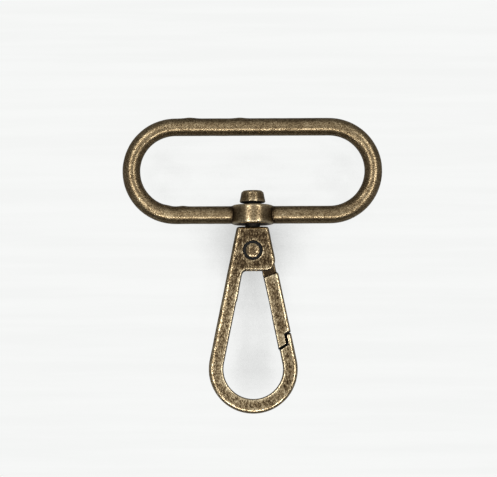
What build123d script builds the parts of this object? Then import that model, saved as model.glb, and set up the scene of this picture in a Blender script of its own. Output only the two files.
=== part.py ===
from build123d import *
import os
from math import cos, radians, sin, tan

# Swivel snap hook with an oblong strap loop, die-cast in zinc and plated antique brass.
# Millimetres. Z is the swivel axis and points up, from the hook to the loop. The origin is on
# that axis, at the centre of the eye's round bottom and halfway through the hook's thickness.
# The front looks along -Y, and the gate is on the +X side.

# Loop
STRAP_WIDTH = 38.0          # clear width for the strap
STRAP_HEIGHT = 12.0         # clear height of the strap slot
WIRE = 3.0                  # diameter of the loop's round bar
BAR_Z = 26.0                # centre line of the lower bar, and middle of the collar
COLLAR_DIAMETER = 7.2
COLLAR_HEIGHT = 3.2
COLLAR_EDGE = 0.35          # rounding of the collar's rims
COLLAR_BORE = 3.1           # loose on the stud, so that the hook turns and rocks freely
BORE_CHAMFER = 0.25
END_PLAY = 0.96             # of the collar between the stud's head and the hook, half each side

# Hook body: a drop-shaped frame that is open on the gate side
THICKNESS = 3.6
MOULD_BAND = 1.0            # straight part, at mid-thickness, of the walls round the eye and the gate
DRAFT = 4.5                 # degrees, of those walls from there out to both faces
OUTER_RADIUS = 7.45
ARM_WIDTH = 2.45            # of the fixed arm and the round bottom, at the middle plane
FLANK = radians(11.65)      # lean of both straight flanks from the vertical
TOP_CORNER = 0.3
OUTER_ROUNDING = 0.6
INNER_ROUNDING = 0.2
EDGE_BREAK = 0.1            # bevel where the gate's opening and the gate's ends are cut
BEVEL_ANGLE = 45
CHEEK_EDGE = 16.6           # lower edge, in the flat faces, of the two cheeks that hold the gate
EYE_CORNER = 0.8            # fillet between the cheeks and the fixed arm
CHEEK_CORNER = 1.6          # rounding of the cheeks over the gate's tongue
SLOT = 1.9                  # gap between the cheeks

# Stud: a turned rivet that joins the hook to the loop
STUD_SHANK = 2.5
STUD_HEAD_BASE = 4.4
STUD_HEAD_TOP = 3.75
STUD_HEAD_HEIGHT = 2.0
STUD_CHAMFER = 0.3
STUD_UNDERCUT = 0.15

# Gate pin: riveted at both ends, each head in a counterbore
PIN_Z = 19.9
PIN_DIAMETER = 1.6
PIN_HEAD = 2.4
PIN_HEAD_EDGE = 0.25        # straight part of a head
PIN_HEAD_DOME = 0.3         # rise of the dome over it
COUNTERBORE = 3.3
COUNTERBORE_DEPTH = 0.5

# Gate. V is a distance down the gate, square to U, which is a distance out to the flank.
GATE_WIDTH = 2.6            # at its middle plane
GATE_OUTER_ROUNDING = 0.5
TONGUE_THICKNESS = 1.75
TONGUE_INSET = 0.27         # of the tongue's outer edge from the flank
HUB_RADIUS = 1.9
HUB_CLEARANCE = 0.15        # between the hub and the slot around it
HUB_RUNNING_FIT = 0.05      # radial play of the hub on the pin
STEP_V = -14.64             # where the gate's full thickness starts, at its inner wall
STEP_SLOPE = -0.157
NOTCH_GAP = 0.08            # of the stepped joint with the nose, at the middle plane
NOTCH_DEPTH = 1.0           # of the nose's lip, in from the flank
NOTCH_UPPER_V = -4.77       # of the joint where it meets the flank
NOTCH_UPPER_SLOPE = -0.26
NOTCH_LOWER_V = -2.84       # of the joint at the foot of the lip
NOTCH_LOWER_SLOPE = -0.36
NOTCH_ROUNDING = 0.18

# Gate spring: torsion spring around the pin, beside the thinned half of the hub
SPRING_WIRE = 0.32
SPRING_RADIUS = 1.15        # mean radius of the coils
SPRING_PITCH = 0.34
SPRING_FULL_TURNS = 1
SPRING_FIXED_LEG = 1.45
SPRING_GATE_LEG = 1.9
SPRING_START_Y = 0.26       # middle of the wire where the coil starts
SPRING_GROOVE_PLAY = 0.04

CLEAR = 20.0                # beyond any outline, for cuts that run out of the material

FACE_SHIFT = (THICKNESS - MOULD_BAND) / 2 * tan(radians(DRAFT))
INNER_RADIUS = OUTER_RADIUS - ARM_WIDTH
CHEEK_FOOT = CHEEK_EDGE - FACE_SHIFT
GATE_RADIUS = OUTER_RADIUS - GATE_WIDTH
NOTCH_U = OUTER_RADIUS - NOTCH_DEPTH
BAR_SPACING = STRAP_HEIGHT + WIRE
BAR_LENGTH = STRAP_WIDTH - STRAP_HEIGHT
BODY_TOP = BAR_Z - (COLLAR_HEIGHT + END_PLAY) / 2
STUD_HEAD_Z = BAR_Z + (COLLAR_HEIGHT + END_PLAY) / 2
SLOT_RADIUS = HUB_RADIUS + HUB_CLEARANCE
SLOT_ROOF = PIN_Z + SLOT_RADIUS
PIN_U = PIN_Z * sin(FLANK)
PIN_V = -PIN_Z * cos(FLANK)


def along_gate(u, v):
    """X and Z of the point that is u out from the origin, square to the flank, and v down it."""
    return (u * cos(FLANK) + v * sin(FLANK), u * sin(FLANK) - v * cos(FLANK))


def half_width(radius, z):
    """Distance from the axis to the straight flank of a drop with this bottom radius."""
    return (radius - z * sin(FLANK)) / cos(FLANK)


def outline_face(*curves):
    """Closed face in the XZ plane from curves drawn in x and z."""
    return make_face(Plane.XZ * (Curve() + list(curves)))


def polygon(points):
    return make_face(Plane.XZ * Polyline(*points, close=True))


def slab(face, thickness):
    """The face made a solid, with its middle plane at y = 0."""
    return extrude(face, amount=thickness / 2, both=True)


def along_pin(radius, length):
    """Cylinder on the gate pin's axis, with its middle at y = 0."""
    return Pos(0, 0, PIN_Z) * Rot(90, 0, 0) * Cylinder(radius, length)


def drop(radius, top):
    """Drop outline: level top, two leaning flanks and a round bottom."""
    right_top = (half_width(radius, top), top)
    left_top = (-right_top[0], top)
    right_foot = along_gate(radius, 0.0)
    left_foot = (-right_foot[0], right_foot[1])
    return outline_face(
        Line(left_top, right_top),
        Line(right_top, right_foot),
        ThreePointArc(right_foot, (0.0, -radius), left_foot),
        Line(left_foot, left_top),
    )


def rounded_drop(radius, top, corner):
    outline = drop(radius, top)
    return fillet(outline.vertices().group_by(Axis.Z)[-1], corner)


def flat_faces(solid):
    """The front and the back face."""
    faces = solid.faces().sort_by(Axis.Y)
    return [faces[0], faces[-1]]


def rim_edges(solid):
    return [edge for face in flat_faces(solid) for edge in face.outer_wire().edges()]


def hole_edges(solid):
    return [edge for face in flat_faces(solid) for edge in face.inner_wires()[0].edges()]


def blank(rounding):
    """The drop as a plate with rounded outer edges, before the eye is cut."""
    plate = slab(rounded_drop(OUTER_RADIUS, BODY_TOP, TOP_CORNER), THICKNESS)
    return fillet(rim_edges(plate), rounding)


def moulded_slab(face, thickness, side):
    """The face made a solid with a straight band at mid-thickness and draft from there out.

    side is +1 where the face is material, and -1 where it is the opening that a mould leaves.
    """
    band = slab(face, MOULD_BAND)
    height = (thickness - MOULD_BAND) / 2
    return band + [extrude(end, amount=height, taper=side * DRAFT) for end in flat_faces(band)]


def beveled_slab(face, side):
    """A moulded slab as thick as the hook, with a bevel round both its flat faces."""
    core = moulded_slab(face, THICKNESS - 2 * EDGE_BREAK, side)
    ends = [extrude(end, amount=EDGE_BREAK, taper=side * BEVEL_ANGLE) for end in flat_faces(core)]
    return core + ends


def notch_edge(side):
    """Corners of the stepped joint, on the gate's side (-1) or the nose's side (+1)."""
    shift = side * NOTCH_GAP / 2
    lip_u = NOTCH_U + shift
    outside = OUTER_RADIUS + CLEAR / 4
    inside = GATE_RADIUS - CLEAR / 8

    def upper(u):
        return NOTCH_UPPER_V + shift + NOTCH_UPPER_SLOPE * (u - OUTER_RADIUS)

    def lower(u):
        return NOTCH_LOWER_V + shift + NOTCH_LOWER_SLOPE * (u - NOTCH_U)

    return [
        along_gate(outside, upper(outside)),
        along_gate(lip_u, upper(lip_u)),
        along_gate(lip_u, lower(lip_u)),
        along_gate(inside, lower(inside)),
    ]


def round_notch(face, side):
    """Rounds the two inner corners of the stepped joint in a face that it bounds."""
    corners = [
        vertex
        for vertex in face.vertices()
        for x, z in notch_edge(side)[1:3]
        if abs(vertex.X - x) + abs(vertex.Z - z) < NOTCH_ROUNDING / 10
    ]
    return fillet(corners, NOTCH_ROUNDING)


def gate_opening():
    """What the body's right arm lacks, from the cheeks' rounded corner to the nose."""
    corner_x = half_width(OUTER_RADIUS, CHEEK_FOOT)
    reach = CHEEK_CORNER / tan((radians(90) - FLANK) / 2)
    edge_end = (corner_x - reach, CHEEK_FOOT)
    flank_end = (corner_x - reach * sin(FLANK), CHEEK_FOOT + reach * cos(FLANK))
    outside = (flank_end[0] + CLEAR, flank_end[1])
    eye_middle = (0.0, CHEEK_FOOT)
    nose = notch_edge(+1)
    face = outline_face(
        TangentArc(edge_end, flank_end, tangent=(1.0, 0.0)),
        Polyline(flank_end, outside, *nose, eye_middle, edge_end),
    )
    return round_notch(face, +1)


def gate_slot():
    """Room for the gate's hub between the cheeks, open to the right and to the eye."""
    left = -0.75 * SLOT_RADIUS
    bottom = CHEEK_EDGE - 1.0
    side_room = polygon(
        [(0.0, SLOT_ROOF), (CLEAR, SLOT_ROOF), (CLEAR, bottom), (left, bottom), (left, PIN_Z), (0.0, PIN_Z)]
    )
    return along_pin(SLOT_RADIUS, SLOT) + slab(side_room, SLOT)


def counterbores():
    through = along_pin(COUNTERBORE / 2, THICKNESS)
    return through - along_pin(COUNTERBORE, THICKNESS - 2 * COUNTERBORE_DEPTH)


def make_loop():
    bar = Rot(0, 90, 0) * Cylinder(WIRE / 2, BAR_LENGTH)
    loop = bar + Pos(0, 0, BAR_SPACING) * bar
    for side in (-1, 1):
        end = side * BAR_LENGTH / 2
        section = Plane((end, 0, 0), z_dir=(1, 0, 0)) * Circle(WIRE / 2)
        bend_axis = Axis((end, 0, BAR_SPACING / 2), (0, -side, 0))
        loop += revolve(section, bend_axis, 180)
    collar = Cylinder(COLLAR_DIAMETER / 2, COLLAR_HEIGHT)
    loop += fillet(collar.edges().filter_by(GeomType.CIRCLE), COLLAR_EDGE)
    bore = Cylinder(COLLAR_BORE / 2, COLLAR_HEIGHT)
    loop -= bore
    mouths = [
        edge
        for edge in loop.edges().filter_by(GeomType.CIRCLE)
        if abs(edge.radius - COLLAR_BORE / 2) < BORE_CHAMFER / 10
    ]
    return Pos(0, 0, BAR_Z) * chamfer(mouths, BORE_CHAMFER)


def make_hook_body():
    eye = moulded_slab(rounded_drop(INNER_RADIUS, CHEEK_FOOT, EYE_CORNER), THICKNESS, -1)
    body = blank(OUTER_ROUNDING) - eye
    body = fillet(hole_edges(body), INNER_ROUNDING)
    body -= beveled_slab(gate_opening(), -1)
    body -= gate_slot()
    body -= along_pin(PIN_DIAMETER / 2, THICKNESS)
    body -= counterbores()
    stud_hole = Cylinder(STUD_SHANK / 2, BODY_TOP - SLOT_ROOF)
    return body - Pos(0, 0, (BODY_TOP + SLOT_ROOF) / 2) * stud_hole


def make_swivel_stud():
    shank = STUD_SHANK / 2
    base = STUD_HEAD_BASE / 2
    top = STUD_HEAD_TOP / 2
    head_top = STUD_HEAD_Z + STUD_HEAD_HEIGHT
    half_section = [
        (0.0, SLOT_ROOF),
        (shank, SLOT_ROOF),
        (shank, STUD_HEAD_Z),
        (base - STUD_UNDERCUT, STUD_HEAD_Z),
        (base, STUD_HEAD_Z + STUD_UNDERCUT),
        (top, head_top - STUD_CHAMFER),
        (top - STUD_CHAMFER, head_top),
        (0.0, head_top),
    ]
    return revolve(polygon(half_section), Axis.Z)


def make_gate_pin():
    shaft = PIN_DIAMETER / 2
    head = PIN_HEAD / 2
    floor = THICKNESS / 2 - COUNTERBORE_DEPTH
    edge = floor + PIN_HEAD_EDGE
    crown = edge + PIN_HEAD_DOME
    half_section = Curve() + [
        Polyline((0, crown), (0, 0), (shaft, 0), (shaft, floor), (head, floor), (head, edge)),
        TangentArc((0, crown), (head, edge), tangent=(1, 0)),
    ]
    half = revolve(make_face(half_section), Axis.Y)
    return Pos(0, 0, PIN_Z) * (half + mirror(half, Plane.XZ))


def gate_arm_area():
    """The gate's full-thickness part, from its step down to the stepped joint."""

    def step(u):
        return along_gate(u, STEP_V + STEP_SLOPE * (u - GATE_RADIUS))

    inner_end = step(GATE_RADIUS - 1.0)
    outer_end = step(OUTER_RADIUS + 1.0)
    return round_notch(polygon([inner_end, outer_end] + notch_edge(-1)), -1)


def tongue_face():
    """The gate's thin root, from the hub's top round its back and down into the arm."""
    outer_u = OUTER_RADIUS - TONGUE_INSET
    back_radius = outer_u - PIN_U
    top = along_gate(PIN_U, PIN_V - HUB_RADIUS)
    back = along_gate(outer_u, PIN_V - HUB_RADIUS + back_radius)
    into_arm_v = STEP_V + 1.0
    return outline_face(
        TangentArc(top, back, tangent=(cos(FLANK), sin(FLANK))),
        Polyline(
            back,
            along_gate(outer_u, into_arm_v),
            along_gate(GATE_RADIUS, into_arm_v),
            along_gate(GATE_RADIUS, PIN_V),
            along_gate(PIN_U, PIN_V),
            top,
        ),
    )


def spring_pocket():
    """Thins the back half of the hub and cuts a groove for the spring's leg on the gate."""
    wall_u = PIN_U + SPRING_RADIUS + SPRING_WIRE / 2 + SPRING_GROOVE_PLAY
    end_v = PIN_V + SPRING_GATE_LEG + 2 * SPRING_WIRE
    groove = polygon(
        [
            along_gate(PIN_U, PIN_V - CLEAR),
            along_gate(OUTER_RADIUS, PIN_V - CLEAR),
            along_gate(OUTER_RADIUS, PIN_V),
            along_gate(wall_u, PIN_V),
            along_gate(wall_u, end_v),
            along_gate(PIN_U, end_v),
        ]
    )
    depth = TONGUE_THICKNESS
    return Pos(0, depth / 2, 0) * (along_pin(SLOT_RADIUS, depth) + slab(groove, depth))


def make_gate():
    arm = blank(GATE_OUTER_ROUNDING)
    arm -= moulded_slab(drop(GATE_RADIUS, CHEEK_EDGE), THICKNESS, -1)
    arm &= beveled_slab(gate_arm_area(), +1)
    root = slab(tongue_face(), TONGUE_THICKNESS) + along_pin(HUB_RADIUS, TONGUE_THICKNESS)
    root -= spring_pocket()
    return arm + root - along_pin(PIN_DIAMETER / 2 + HUB_RUNNING_FIT, THICKNESS)


def make_gate_spring():
    """Wound from the leg that bears on the body, at the top, to the leg along the gate."""
    turns = SPRING_FULL_TURNS + 0.25 - FLANK / radians(360)
    coil = Helix(SPRING_PITCH, SPRING_PITCH * turns, SPRING_RADIUS)
    body_leg = Line(coil @ 0 - (coil % 0) * SPRING_FIXED_LEG, coil @ 0)
    gate_leg = Line(coil @ 1, coil @ 1 + (coil % 1) * SPRING_GATE_LEG)
    path = Wire([body_leg.edge(), coil.edge(), gate_leg.edge()])
    section = Plane(path @ 0, z_dir=path % 0) * Circle(SPRING_WIRE / 2)
    spring = sweep(section, path, is_frenet=True)
    on_pin = Plane((0, SPRING_START_Y, PIN_Z), x_dir=(0, 0, 1), z_dir=(0, 1, 0))
    return on_pin * spring


MAKERS = {
    "loop": make_loop,
    "hook_body": make_hook_body,
    "swivel_stud": make_swivel_stud,
    "gate": make_gate,
    "gate_pin": make_gate_pin,
    "gate_spring": make_gate_spring,
}

os.makedirs("parts", exist_ok=True)
for name, make in MAKERS.items():
    solid = make()
    solid.label = name
    export_step(solid, f"parts/{name}.step")
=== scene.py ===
from math import cos, radians, sin

import bpy
import numpy as np
from mathutils import Matrix, Quaternion, Vector, noise


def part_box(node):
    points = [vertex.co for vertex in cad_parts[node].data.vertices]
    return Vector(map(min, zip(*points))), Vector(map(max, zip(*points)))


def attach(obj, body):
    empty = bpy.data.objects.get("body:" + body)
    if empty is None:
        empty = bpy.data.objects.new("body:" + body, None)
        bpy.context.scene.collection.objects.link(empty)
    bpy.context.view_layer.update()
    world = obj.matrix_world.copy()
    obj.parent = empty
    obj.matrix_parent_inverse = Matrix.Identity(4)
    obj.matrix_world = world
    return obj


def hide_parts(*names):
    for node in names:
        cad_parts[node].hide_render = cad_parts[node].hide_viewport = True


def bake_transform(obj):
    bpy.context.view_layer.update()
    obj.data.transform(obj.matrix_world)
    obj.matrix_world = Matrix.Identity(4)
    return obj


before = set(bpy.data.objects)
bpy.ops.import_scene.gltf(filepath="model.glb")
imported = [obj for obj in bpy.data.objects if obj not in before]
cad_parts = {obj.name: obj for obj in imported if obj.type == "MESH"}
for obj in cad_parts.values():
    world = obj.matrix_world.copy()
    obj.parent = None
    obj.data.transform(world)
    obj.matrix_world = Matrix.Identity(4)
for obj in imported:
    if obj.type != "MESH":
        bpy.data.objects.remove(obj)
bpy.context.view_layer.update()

# Looks of a swivel snap hook: antique brass plating over castings, on a pale backdrop.
# Shapes are worked on in millimetres, and the finished meshes are in metres.
MM = 0.001

# Skins: the spacing of each piece's even mesh, small enough for its finest edge
LOOP_VOXEL = 0.115
BODY_VOXEL = 0.09
GATE_VOXEL = 0.075
STUD_VOXEL = 0.06
PIN_VOXEL = 0.05
SPRING_VOXEL = 0.04
WEAR_REACH = 0.8            # how far round a point its convexity is measured
SMOOTHING = 3               # fairing steps that take the voxel steps out of a skin

# Places taken from the frame, and the loop's bar in them
LOOP_LOW, LOOP_HIGH = (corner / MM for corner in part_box("loop"))
PIN_LOW, PIN_HIGH = (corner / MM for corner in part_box("gate_pin"))
PIN_Z = (PIN_LOW.z + PIN_HIGH.z) / 2
BAR_RADIUS = 1.5
BAR_Z = LOOP_LOW.z + 1.6    # half the collar's height up from its underside
COLLAR_RADIUS = LOOP_HIGH.y
STUD_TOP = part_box("swivel_stud")[1].z / MM

# The drop shape of the hook: its bottom radius, and how far in from the outline its shoulders reach
OUTER_RADIUS = 7.45
SHOULDER = 1.0
SHOULDER_STEPS = 30         # of smoothing, which wears the shoulders round

# Round the gate pin: the radius of the counterbore painted black (patina and painted shade), and of the
# rubbed dome in it
COUNTERBORE_RIM = 1.66
PIN_DOME = 1.17

# The gate's side of the hook, in U and V of on_flank
FLANK = 11.65               # degrees of lean
JOINT = ((7.6, -4.8), (6.45, -4.5), (6.45, -2.84), (4.6, -2.2))
# The joint's walls and edges are painted black: partly patina, partly painted shade of the narrow gap
JOINT_REACH = 0.26          # how far from the middle of the joint its walls and edges are black
FLASH_HEIGHT = 0.045
FLASH_WIDTH = 0.25
STEP_RAMP = 0.2             # of the low steps in the eye's walls, from nothing to full height
EYE_TOP = 15.5              # where these steps have run out
STEP_RUN_OUT = 3.0

# How much lighter (above 0) or darker (below 0) than the rest of it a part of a piece is painted, as
# finish_skin
# takes it: partly wear and black patina, partly painted light and shade
RUBBED_ARM = 0.10
HEAD_PAINTED_SHADE = 0.26            # how much darker the hook's head is painted than its arms: painted shade
HEAD_FADE = (13.0, 18.0)    # heights between which that comes on
SHELTERED = -0.5
BLACKENED_AND_SHADED = -1.0

# Camera, backdrop and lamps
VIEW_WIDTH = 83.94          # of the plane through the object, across the picture
VIEW_DISTANCE = 300.0
VIEW_TARGET = Vector((-0.70, 0.0, 22.0))
VIEW_ELEVATION = radians(-5.0)
VIEW_ROLL = radians(-0.25)
BACKDROP_Y = 8.2            # just behind the hook's sweep as it swivels
BACKDROP_SIZE = 900.0
BACKDROP_GLOW = 0.20        # what the metal mirrors of it
SHADOW_REACH = 11.5         # of the soft shadow painted on it round the object
LIGHT_DISTANCE = 260.0
WINDOW_HEIGHT = 220.0
WINDOW_WIDTH = 45.0
WINDOW_ELEVATION = 6.0


# ---------------------------------------------------------------- meshes

def mesh_points(mesh):
    points = np.empty(len(mesh.vertices) * 3, np.float32)
    mesh.vertices.foreach_get("co", points)
    return points.reshape(-1, 3).astype(float)


def set_points(mesh, points):
    mesh.vertices.foreach_set("co", points.astype(np.float32).ravel())
    mesh.update()


def mesh_normals(mesh):
    normals = np.empty(len(mesh.vertices) * 3, np.float32)
    mesh.vertex_normals.foreach_get("vector", normals)
    return normals.reshape(-1, 3).astype(float)


def mesh_edges(mesh):
    edges = np.empty(len(mesh.edges) * 2, np.int32)
    mesh.edges.foreach_get("vertices", edges)
    return edges.reshape(-1, 2)


def neighbour_mean(points, edges):
    """Mean position of each point's neighbours along the mesh's edges."""
    first, second = edges[:, 0], edges[:, 1]
    size = len(points)
    count = np.bincount(edges.ravel(), minlength=size)
    total = [
        np.bincount(first, points[second, axis], size) + np.bincount(second, points[first, axis], size)
        for axis in range(3)
    ]
    return np.stack(total, axis=1) / count[:, None]


def relax(points, edges, steps, share=0.5, weight=1.0):
    """Moves the points towards the mean of their neighbours, as far as share and weight say."""
    for _ in range(steps):
        points = points + (neighbour_mean(points, edges) - points) * share * weight
    return points


def fair(points, edges, steps):
    """Smooths away the voxel steps and keeps the volume: each shrinking step is undone in the large."""
    for _ in range(steps):
        points = relax(points, edges, 1, 0.5)
        points = relax(points, edges, 1, -0.53)
    return points


def lumps(points, size, seed):
    """Soft random swells of about this size at each point, from -1 to 1."""
    offset = Vector((seed * 17.3, seed * -9.1, seed * 5.7))
    return np.array([noise.fractal(Vector(p) / size + offset, 0.9, 2.0, 2) for p in points])


def bump_at(points, centre, reach):
    """1 at the centre and falling smoothly to 0 about one reach away, with a reach for each axis."""
    distance = (points - np.array(centre)) / np.array(reach)
    return np.exp(-(distance ** 2).sum(axis=1))


def distance_to_path(across, along, path):
    """Distance of each point (across, along) to a path of straight pieces in the same plane."""
    nearest = np.full(len(across), np.inf)
    spots = np.stack([across, along], axis=1)
    for start, end in zip(path, path[1:]):
        start, end = np.array(start), np.array(end)
        step = end - start
        share = np.clip((spots - start) @ step / (step @ step), 0, 1)
        nearest = np.minimum(nearest, np.hypot(*(spots - start - share[:, None] * step).T))
    return nearest


def on_flank(points):
    """U, the distance out from the origin square to the gate's flank, and V, the distance down it."""
    lean = radians(FLANK)
    u = points[:, 0] * cos(lean) + points[:, 2] * sin(lean)
    v = points[:, 0] * sin(lean) - points[:, 2] * cos(lean)
    return u, v


def on_shoulder(points):
    """1 at the outline of the drop-shaped hook, falling to 0 one shoulder's width in from it."""
    folded = points.copy()
    folded[:, 0] = np.abs(points[:, 0])
    u, v = on_flank(folded)
    out = np.where(v < 0, u, np.hypot(points[:, 0], points[:, 2]))
    share = np.clip((out - OUTER_RADIUS + SHOULDER) / (SHOULDER / 2), 0, 1)
    return share[:, None]


def close_joint(points, normals):
    """Draws the stepped joint's walls together along the parting line, where castings have flash."""
    near = distance_to_path(*on_flank(points), JOINT) < JOINT_REACH
    ridge = np.exp(-(points[:, 1] / FLASH_WIDTH) ** 2) * near * (np.abs(normals[:, 1]) < 0.5)
    return points + normals * (FLASH_HEIGHT * ridge)[:, None]


def wall_step(points, normals, facing, level, height):
    """A low step in the eye's wall on one side (-1 or +1), where an insert of the mould ended."""
    wall = (normals[:, 0] * facing > 0.8) & (points[:, 0] * facing < 0)
    rise = np.clip((points[:, 2] - level) / STEP_RAMP, 0, 1)
    run_out = np.clip((EYE_TOP - points[:, 2]) / STEP_RUN_OUT, 0, 1)
    return points + normals * (height * rise * run_out * wall)[:, None]


def smooth_ramp(values, low, high):
    share = np.clip((values - low) / (high - low), 0, 1)
    return share * share * (3 - 2 * share)


# Paints the joint black: partly patina, partly painted shade of the narrow gap
def blacken_and_shade_joint(points, rubbing_and_shading):
    return np.where(distance_to_path(*on_flank(points), JOINT) < JOINT_REACH, BLACKENED_AND_SHADED, rubbing_and_shading)


def from_pin(points):
    """Distance of each point from the gate pin's axis."""
    return np.hypot(points[:, 0], points[:, 2] - PIN_Z)


def even_skin(node, name, voxel):
    """A new object over a CAD node's shape, with an even mesh in millimetres."""
    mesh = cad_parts[node].data.copy()
    mesh.transform(Matrix.Scale(1 / MM, 4))
    mesh.materials.clear()
    piece = bpy.data.objects.new(name, mesh)
    bpy.context.scene.collection.objects.link(piece)
    remesh = piece.modifiers.new("even_skin", "REMESH")
    remesh.mode = "VOXEL"
    remesh.voxel_size = voxel
    graph = bpy.context.evaluated_depsgraph_get()
    piece.data = bpy.data.meshes.new_from_object(piece.evaluated_get(graph))
    piece.modifiers.clear()
    return piece


def store(mesh, name, values):
    attribute = mesh.attributes.new(name, "FLOAT", "POINT")
    attribute.data.foreach_set("value", values.astype(np.float32))


def finish_skin(piece, points, voxel, swell, grain, seed, rubbing_and_shading):
    """Puts the points back with casting waviness, and stores what its plating shows.

    stands_out is how far a point stands out of its surroundings, in millimetres, and rubbing_and_shading
    is how much lighter (above 0) or darker (below 0) than the rest of the piece a point is painted, partly
    for wear and patina and partly as painted light and shade.
    """
    mesh = piece.data
    edges = mesh_edges(mesh)
    set_points(mesh, points)
    normals = mesh_normals(mesh)
    height = swell * lumps(points, 2.6, seed) + grain * lumps(points, 0.5, seed + 1)
    points = points + normals * height[:, None]
    set_points(mesh, points)
    steps = int(2 * (WEAR_REACH / voxel) ** 2)
    stands_out = ((points - relax(points, edges, steps)) * mesh_normals(mesh)).sum(axis=1)
    store(mesh, "stands_out", stands_out)
    store(mesh, "rubbing_and_shading", rubbing_and_shading)
    mesh.transform(Matrix.Scale(MM, 4))
    mesh.shade_smooth()
    return piece


# ---------------------------------------------------------------- materials

class Nodes:
    """Short ways to add nodes to one material."""

    def __init__(self, tree):
        self.tree = tree
        tree.nodes.clear()

    def add(self, kind, inputs=(), **settings):
        node = self.tree.nodes.new("ShaderNode" + kind)
        for key, value in settings.items():
            setattr(node, key, value)
        for key, value in dict(inputs).items():
            self.put(node.inputs[key], value)
        return node

    def put(self, socket, value):
        if isinstance(value, bpy.types.NodeSocket):
            self.tree.links.new(value, socket)
        else:
            socket.default_value = value

    def math(self, operation, first, second=0.0, third=0.0):
        node = self.add("Math", {0: first, 1: second, 2: third}, operation=operation)
        return node.outputs[0]

    def noise(self, place, scale, detail=2.0, roughness=0.5):
        inputs = {"Vector": place, "Scale": scale, "Detail": detail, "Roughness": roughness}
        return self.add("TexNoise", inputs).outputs["Fac"]

    def spread(self, value, low, high, to_low=0.0, to_high=1.0):
        """The value's range from low to high made a smooth share from to_low to to_high."""
        inputs = {"Value": value, "From Min": low, "From Max": high, "To Min": to_low, "To Max": to_high}
        return self.add("MapRange", inputs, interpolation_type="SMOOTHSTEP").outputs["Result"]

    def mix(self, share, first, second):
        node = self.add("Mix", data_type="RGBA")
        for socket, value in zip((node.inputs[0], node.inputs[6], node.inputs[7]), (share, first, second)):
            self.put(socket, value)
        return node.outputs[2]

    def stretched(self, place, factors):
        return self.add("VectorMath", {0: place, 1: factors}, operation="MULTIPLY").outputs[0]


def colour(red, green, blue):
    """Linear RGBA from sRGB values of 0 to 255."""
    def linear(value):
        share = value / 255
        return share / 12.92 if share <= 0.04045 else ((share + 0.055) / 1.055) ** 2.4
    return (linear(red), linear(green), linear(blue), 1.0)


OXIDE = colour(56, 44, 30)
PATINA = colour(114, 96, 70)
BRASS = colour(176, 156, 121)
RUBBED_BRASS = colour(232, 214, 178)
# Near-black of patina in recesses, and of painted shade in gaps and under parts
PATINA_AND_SHADE_BLACK = colour(10, 8, 6)


def antique_brass(name, grain=1.0, wear=0.0, contrast=1.0, recess_reach=0.7, along=(1, 1, 1)):
    """Plating that was blackened and then rubbed: bright where it stands out, dark in pits and recesses.

    grain is the size of the mottling, wear how rubbed it is, contrast the strength of the mottling,
    recess_reach how far in millimetres the ambient occlusion looks for the walls round a recess, which
    then goes black, partly as patina and partly as painted shade, and along shortens an axis, which
    draws the mottling out on it.
    """
    material = bpy.data.materials.new(name)
    material.use_nodes = True
    g = Nodes(material.node_tree)
    place = g.stretched(g.add("TexCoord").outputs["Object"], (1 / MM,) * 3)
    drawn = g.stretched(place, along)
    clouds = g.noise(place, 0.6, 2.0)
    mottle = g.noise(drawn, 3.2 / grain, 3.0, 0.6)
    speckle = g.noise(drawn, 7.5 / grain, 2.0, 0.6)
    pits = g.spread(g.noise(drawn, 5.8 / grain, 1.5, 0.5), 0.61, 0.70)

    blotch = g.math("MULTIPLY_ADD", mottle, 0.8, g.math("MULTIPLY", clouds, 0.3))
    blotch = g.math("MULTIPLY_ADD", speckle, 1.3, blotch)
    blotch = g.math("SUBTRACT", blotch, 1.2)
    stands_out = g.add("Attribute", attribute_name="stands_out").outputs["Fac"]
    ridge = g.math("MULTIPLY", g.math("SUBTRACT", stands_out, 0.12), 3.4)
    rubbing_and_shading = g.add("Attribute", attribute_name="rubbing_and_shading").outputs["Fac"]
    tone_level = g.math("ADD", g.math("ADD", ridge, rubbing_and_shading), 0.55 + wear)
    tone_level = g.math("MULTIPLY_ADD", blotch, 2.1 * contrast, tone_level)
    tone = g.add("ValToRGB", {"Fac": tone_level})
    ramp = tone.color_ramp
    ramp.elements[0].position, ramp.elements[0].color = 0.0, OXIDE
    ramp.elements[1].position, ramp.elements[1].color = 1.0, RUBBED_BRASS
    ramp.elements.new(0.33).color = PATINA
    ramp.elements.new(0.66).color = BRASS
    # Painted shade and black patina: recesses found by ambient occlusion, and points whose
    # rubbing_and_shading is near -1, go towards black
    recess = g.add("AmbientOcclusion", {"Distance": recess_reach * MM}, samples=8).outputs["AO"]
    black_patina_and_shade = g.spread(recess, 0.35, 0.80, 1.0, 0.0)
    black_patina_and_shade = g.math("MAXIMUM", black_patina_and_shade, g.spread(rubbing_and_shading, -1.0, -0.7, 1.0, 0.0))
    tint = g.mix(g.math("MULTIPLY", pits, 0.6 * contrast), tone.outputs["Color"], OXIDE)
    tint = g.mix(black_patina_and_shade, tint, PATINA_AND_SHADE_BLACK)

    dull = g.spread(tone_level, 0.1, 0.9, 0.38, 0.22)
    dull = g.math("MULTIPLY_ADD", g.math("SUBTRACT", speckle, 0.5), 0.14, dull)
    dull = g.math("MULTIPLY_ADD", black_patina_and_shade, 0.4, dull)
    relief = g.math("MULTIPLY_ADD", mottle, 1.0, g.math("MULTIPLY", speckle, 0.45))
    relief = g.math("MULTIPLY_ADD", pits, -0.25, relief)
    bump = g.add("Bump", {"Height": relief, "Distance": 0.011 * MM, "Strength": 1.0})
    metal = g.math("MULTIPLY_ADD", black_patina_and_shade, -0.9, 1.0)
    inputs = {"Base Color": tint, "Metallic": metal, "Roughness": dull, "Normal": bump.outputs["Normal"]}
    shader = g.add("BsdfPrincipled", inputs)
    g.add("OutputMaterial", {"Surface": shader.outputs[0]})
    return material


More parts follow.
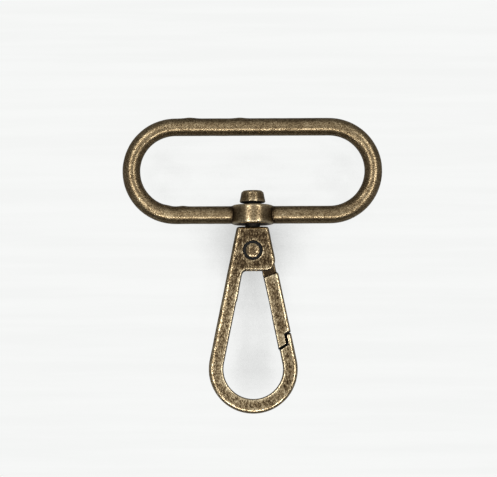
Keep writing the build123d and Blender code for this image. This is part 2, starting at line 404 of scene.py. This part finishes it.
def oiled_steel(name):
    """Drawn spring wire with fine lines along it and a film of oil."""
    material = bpy.data.materials.new(name)
    material.use_nodes = True
    g = Nodes(material.node_tree)
    place = g.stretched(g.add("TexCoord").outputs["Object"], (1 / MM,) * 3)
    film = g.noise(place, 1.8, 3.0)
    lines = g.noise(g.stretched(place, (9.0, 30.0, 9.0)), 1.0, 2.0)
    tint = g.mix(g.spread(film, 0.35, 0.7), colour(92, 90, 86), colour(150, 147, 140))
    dull = g.math("MULTIPLY_ADD", lines, 0.2, 0.18)
    bump = g.add("Bump", {"Height": lines, "Distance": 0.004 * MM})
    inputs = {"Base Color": tint, "Metallic": 1.0, "Roughness": dull, "Normal": bump.outputs["Normal"]}
    shader = g.add("BsdfPrincipled", inputs)
    g.add("OutputMaterial", {"Surface": shader.outputs[0]})
    return material


def place_piece(piece, node, body, material):
    """Gives a piece its material and body, in the place of its CAD node."""
    piece.data.materials.clear()
    piece.data.materials.append(material)
    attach(piece, body)
    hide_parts(node)


# ---------------------------------------------------------------- pieces

def make_loop():
    """Cast loop: soft creases where the bars enter the collar, and the stubs of its casting gates."""
    piece = even_skin("loop", "strap_loop", LOOP_VOXEL)
    edges = mesh_edges(piece.data)
    points = fair(mesh_points(piece.data), edges, 4)
    across = np.abs(points[:, 0])
    near_crease = np.exp(-((across - COLLAR_RADIUS * 0.95) / 0.4) ** 2)
    on_bar_height = np.abs(points[:, 2] - BAR_Z) < BAR_RADIUS + 0.25
    points = relax(points, edges, 4, weight=(near_crease * on_bar_height)[:, None])
    stubs = (
        (-10.6, LOOP_HIGH.z, 1.1, 0.16),
        (-2.1, LOOP_HIGH.z, 0.9, 0.12),
        (-14.4, BAR_Z + BAR_RADIUS, 0.8, 0.10),
        (-11.8, BAR_Z + BAR_RADIUS, 0.7, 0.10),
    )
    for x, z, reach, height in stubs:
        points[:, 2] += height * bump_at(points, (x, 0.0, z), (reach, 0.9, 0.5))
    # Painted light: the collar is made a little lighter than the bars
    on_collar = (across < COLLAR_RADIUS * 0.97) & on_bar_height
    return finish_skin(piece, points, LOOP_VOXEL, swell=0.014, grain=0.003, seed=1, rubbing_and_shading=0.02 * on_collar)


def make_hook_body():
    """Cast body: worn round shoulders, a head painted darker as shade, and black in the joint and round the
    pin, partly patina and partly painted shade.
    """
    piece = even_skin("hook_body", "hook_frame", BODY_VOXEL)
    edges = mesh_edges(piece.data)
    points = fair(mesh_points(piece.data), edges, SMOOTHING)
    points = relax(points, edges, SHOULDER_STEPS, weight=on_shoulder(points))
    normals = mesh_normals(piece.data)
    points = close_joint(points, normals)
    points = wall_step(points, normals, +1, 11.3, 0.09)
    # Painted shade: the head is made darker than the arms
    rubbing_and_shading = RUBBED_ARM - HEAD_PAINTED_SHADE * smooth_ramp(points[:, 2], *HEAD_FADE)
    in_slot = (np.abs(points[:, 1]) < 1.2) & (points[:, 2] > 15.0)
    rubbing_and_shading = np.where(in_slot, SHELTERED, rubbing_and_shading)
    # Black round the pin: partly patina in the counterbore, partly painted shade
    rubbing_and_shading = np.where(from_pin(points) < COUNTERBORE_RIM, BLACKENED_AND_SHADED, rubbing_and_shading)
    rubbing_and_shading = blacken_and_shade_joint(points, rubbing_and_shading)
    return finish_skin(piece, points, BODY_VOXEL, swell=0.014, grain=0.004, seed=3, rubbing_and_shading=rubbing_and_shading)


def make_gate():
    """Cast gate: softer edges than the body's, and a tongue that the cheeks keep from wear."""
    piece = even_skin("gate", "push_gate", GATE_VOXEL)
    edges = mesh_edges(piece.data)
    points = fair(mesh_points(piece.data), edges, SMOOTHING)
    points = relax(points, edges, 4)
    points = relax(points, edges, SHOULDER_STEPS, weight=on_shoulder(points))
    normals = mesh_normals(piece.data)
    points = close_joint(points, normals)
    points = wall_step(points, normals, -1, 8.5, -0.06)
    tongue = (np.abs(points[:, 1]) < 1.05) & (points[:, 2] > 13.0)
    rubbing_and_shading = np.where(tongue, SHELTERED, RUBBED_ARM)
    rubbing_and_shading = blacken_and_shade_joint(points, rubbing_and_shading)
    return finish_skin(piece, points, GATE_VOXEL, swell=0.010, grain=0.004, seed=5, rubbing_and_shading=rubbing_and_shading)


def make_stud():
    """Turned stud: a rubbed head, and a dark shank, partly patina and partly painted shade under the collar.
    """
    piece = even_skin("swivel_stud", "swivel_rivet", STUD_VOXEL)
    points = fair(mesh_points(piece.data), mesh_edges(piece.data), SMOOTHING)
    shank = np.hypot(points[:, 0], points[:, 1]) < 1.45
    below_top = points[:, 2] < STUD_TOP - 0.2
    # The shank is painted dark: partly patina, partly painted shade under the collar
    rubbing_and_shading = np.where(shank & below_top, -0.6, 0.0)
    return finish_skin(piece, points, STUD_VOXEL, swell=0.02, grain=0.003, seed=7, rubbing_and_shading=rubbing_and_shading)


def make_pin():
    """Domed rivet with black sides, partly patina and partly painted shade."""
    piece = even_skin("gate_pin", "pivot_pin", PIN_VOXEL)
    points = fair(mesh_points(piece.data), mesh_edges(piece.data), SMOOTHING)
    # The pin's sides are painted black: partly patina, partly painted shade
    rubbing_and_shading = np.where(from_pin(points) > PIN_DOME, -0.8, 0.0)
    return finish_skin(piece, points, PIN_VOXEL, swell=0.008, grain=0.004, seed=9, rubbing_and_shading=rubbing_and_shading)


def make_spring():
    """Torsion spring, with its leg on the hook in front and its leg on the gate behind."""
    spring = even_skin("gate_spring", "bent_spring", SPRING_VOXEL)
    points = fair(mesh_points(spring.data), mesh_edges(spring.data), 2)
    set_points(spring.data, points * MM)
    spring.data.shade_smooth()
    spring.data.materials.append(oiled_steel("steel_spring"))
    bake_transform(spring)
    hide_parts("gate_spring")


LOOP_FINISH = dict(grain=0.65, wear=0.06, contrast=0.75, recess_reach=0.9, along=(0.6, 1, 1))
HOOK_FINISH = dict(along=(1, 1, 0.5))
# The stud's longer recess_reach paints more shade under the collar
STUD_FINISH = dict(wear=-0.04, contrast=0.7, recess_reach=1.4)
PIN_FINISH = dict(grain=0.9, wear=-0.25)

# Maker, CAD node, body, material slot and finish of each brass piece
PIECES = (
    (make_loop, "loop", "loop", "loop", LOOP_FINISH),
    (make_hook_body, "hook_body", "hook", "hook", HOOK_FINISH),
    (make_gate, "gate", "gate", "gate", HOOK_FINISH),
    (make_stud, "swivel_stud", "hook", "stud", STUD_FINISH),
    (make_pin, "gate_pin", "hook", "pin", PIN_FINISH),
)
for make, node, body, slot, finish in PIECES:
    place_piece(make(), node, body, antique_brass("brass_" + slot, **finish))

make_spring()


# ---------------------------------------------------------------- stage

def make_backdrop():
    """Pale board behind the object. It is clear from behind, so that the back of the object can be seen."""
    half = BACKDROP_SIZE / 2 * MM
    y = BACKDROP_Y * MM
    mesh = bpy.data.meshes.new("backdrop")
    corners = [(-half, y, -half), (half, y, -half), (half, y, half), (-half, y, half)]
    mesh.from_pydata(corners, [], [(0, 1, 2, 3)])
    backdrop = bpy.data.objects.new("backdrop", mesh)
    bpy.context.scene.collection.objects.link(backdrop)
    material = bpy.data.materials.new("backdrop")
    material.use_nodes = True
    g = Nodes(material.node_tree)
    place = g.stretched(g.add("TexCoord").outputs["Object"], (1 / MM,) * 3)
    grain = g.noise(g.stretched(place, (0.02, 1.0, 0.5)), 1.0, 4.0, 0.6)
    tint = g.mix(g.spread(grain, 0.3, 0.7), colour(244, 245, 244), colour(247, 248, 247))
    # Painted shadow: the board's glow is dimmed where ambient occlusion finds the object near it
    seen = g.add("AmbientOcclusion", {"Distance": SHADOW_REACH * MM}, samples=16).outputs["AO"]
    light = g.spread(seen, 0.50, 0.80, 0.40, 1.0)
    paint = g.add("Emission", {"Color": tint, "Strength": light})
    glow = g.add("Emission", {"Color": colour(255, 253, 250), "Strength": BACKDROP_GLOW})
    mirrored = g.add("LightPath").outputs["Is Glossy Ray"]
    front = g.add("MixShader", {0: mirrored, 1: paint.outputs[0], 2: glow.outputs[0]})
    clear = g.add("BsdfTransparent")
    behind = g.add("NewGeometry").outputs["Backfacing"]
    both = g.add("MixShader", {0: behind, 1: front.outputs[0], 2: clear.outputs[0]})
    g.add("OutputMaterial", {"Surface": both.outputs[0]})
    mesh.materials.append(material)


def direction(azimuth, elevation):
    """Unit vector from the object, azimuth 0 towards the camera and 90 to the right, both in degrees."""
    a, e = radians(azimuth), radians(elevation)
    return Vector((sin(a) * cos(e), -cos(a) * cos(e), sin(e)))


def make_world():
    """Pale to the camera; in the metal, a room that is brighter above and dark below."""
    world = bpy.data.worlds.new("room")
    bpy.context.scene.world = world
    world.use_nodes = True
    world.cycles.sampling_method = "NONE"
    g = Nodes(world.node_tree)
    ray = g.add("TexCoord").outputs["Generated"]

    def lobe(towards, inner, outer):
        """1 within inner degrees of a direction and 0 beyond outer degrees."""
        aligned = g.add("VectorMath", {0: ray, 1: tuple(towards)}, operation="DOT_PRODUCT").outputs["Value"]
        return g.spread(aligned, cos(radians(outer)), cos(radians(inner)))

    above = lobe(direction(0, 34), 4, 44)
    around_camera = lobe(direction(0, -6), 2, 22)
    below = lobe(direction(0, -90), 38, 56)
    room = g.math("MULTIPLY_ADD", above, 0.44, 0.22)
    room = g.math("MULTIPLY_ADD", around_camera, 0.32, room)
    room = g.math("MULTIPLY", room, g.math("MULTIPLY_ADD", below, -0.8, 1.0))
    light_path = g.add("LightPath")
    strength = g.mix(light_path.outputs["Is Camera Ray"], room, colour(244, 245, 244))
    background = g.add("Background", {"Color": strength})
    g.add("OutputWorld", {"Surface": background.outputs[0]})


def softbox(name, azimuth, elevation, width, height, power):
    """Rectangular lamp that faces the object, unseen by the camera; its power is in watts."""
    light = bpy.data.lights.new(name, "AREA")
    light.shape = "RECTANGLE"
    light.size = width * MM
    light.size_y = height * MM
    light.energy = power
    holder = bpy.data.objects.new(name, light)
    bpy.context.scene.collection.objects.link(holder)
    towards = direction(azimuth, elevation)
    holder.location = (VIEW_TARGET + towards * LIGHT_DISTANCE) * MM
    holder.rotation_mode = "QUATERNION"
    holder.rotation_quaternion = towards.to_track_quat("Z", "Y")
    holder.visible_camera = False


def make_camera():
    """Camera in front of the object and a little below it, nearly level."""
    data = bpy.data.cameras.new("camera")
    data.sensor_width = 36.0
    data.lens = data.sensor_width * VIEW_DISTANCE / VIEW_WIDTH
    data.clip_start = 0.005
    data.clip_end = 10.0
    camera = bpy.data.objects.new("camera", data)
    bpy.context.scene.collection.objects.link(camera)
    back = Vector((0.0, -cos(VIEW_ELEVATION), sin(VIEW_ELEVATION)))
    camera.location = (VIEW_TARGET + back * VIEW_DISTANCE) * MM
    camera.rotation_mode = "QUATERNION"
    camera.rotation_quaternion = back.to_track_quat("Z", "Y") @ Quaternion((0, 0, 1), VIEW_ROLL)
    bpy.context.scene.camera = camera


make_backdrop()
make_world()
softbox("key", 0, -37, 300, 30, 0.31)
softbox("left_window", -21, WINDOW_ELEVATION, WINDOW_WIDTH, WINDOW_HEIGHT, 0.20)
softbox("right_window", 34, WINDOW_ELEVATION, WINDOW_WIDTH, WINDOW_HEIGHT, 0.21)
make_camera()
bpy.context.scene.view_settings.view_transform = "Standard"
